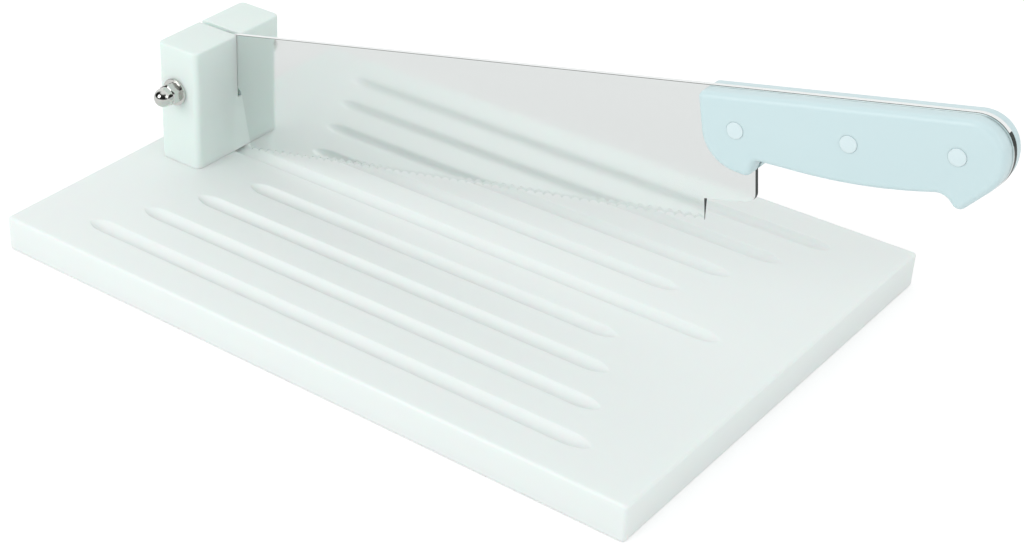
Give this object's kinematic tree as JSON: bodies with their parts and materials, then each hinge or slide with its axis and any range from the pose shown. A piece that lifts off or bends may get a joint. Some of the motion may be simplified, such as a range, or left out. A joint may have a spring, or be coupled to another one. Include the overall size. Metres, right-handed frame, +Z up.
{
  "type": "bread board with hinged knife",
  "caption": "Grooved plastic bread board with a slotted post that carries a hinged, toothed bread knife with a riveted plastic handle.",
  "frame": {"origin": "middle of the board's underside, which stands on the worktop", "axes": "+X along the board from the post to the knife's handle, +Y away from the user, across the board, +Z up"},
  "size_m": [0.4272, 0.25, 0.1605],
  "materials": {
    "board_polyethylene": "milky white, satin from the planer",
    "blade_steel": "fine ground and polished stainless steel",
    "handle_plastic": "moulded, milky white with a blue cast",
    "rivet_plastic": "moulded, milky white",
    "bright_steel": "bright plated"
  },
  "bodies": {
    "base": {"board": "board_polyethylene", "post": "board_polyethylene", "post_screws": "bright_steel", "pivot_bolt": "bright_steel", "pivot_washers": "bright_steel", "domed_nut": "bright_steel"},
    "knife": {"blade": "blade_steel", "front_scale": "handle_plastic", "rear_scale": "handle_plastic", "handle_rivets": "rivet_plastic"}
  },
  "joints": [
    {"name": "knife_pivot", "type": "hinge", "parent": "base", "child": "knife", "pos_m": [-0.1493, 0, 0.0576], "axis": [0, -1, 0], "range_deg": [-12, 73]}
  ]
}
